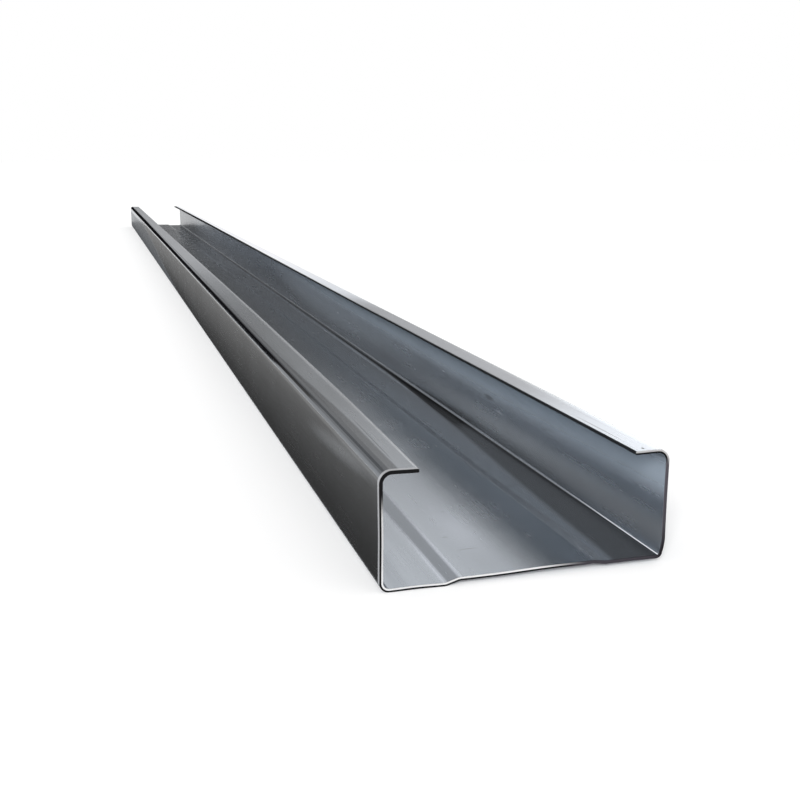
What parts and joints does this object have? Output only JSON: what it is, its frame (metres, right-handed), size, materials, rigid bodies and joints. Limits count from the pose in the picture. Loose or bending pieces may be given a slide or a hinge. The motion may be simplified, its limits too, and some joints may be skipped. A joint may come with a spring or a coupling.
{
  "type": "c purlin",
  "caption": "Straight length of cold rolled zinc coated steel C section with lipped flanges and a web whose middle is stepped inwards.",
  "frame": {"origin": "centre of the purlin's footprint, on the level that the back of its web rests on", "axes": "+Y along the purlin, +X across the web from one flange to the other, +Z from the web towards the open mouth between the lips"},
  "size_m": [0.2, 4, 0.08],
  "materials": {
    "zinc_coated_steel": "satin hot dip zinc, smooth, with faint rolling streaks"
  },
  "bodies": {
    "root": {"c_purlin": "zinc_coated_steel"}
  },
  "joints": []
}
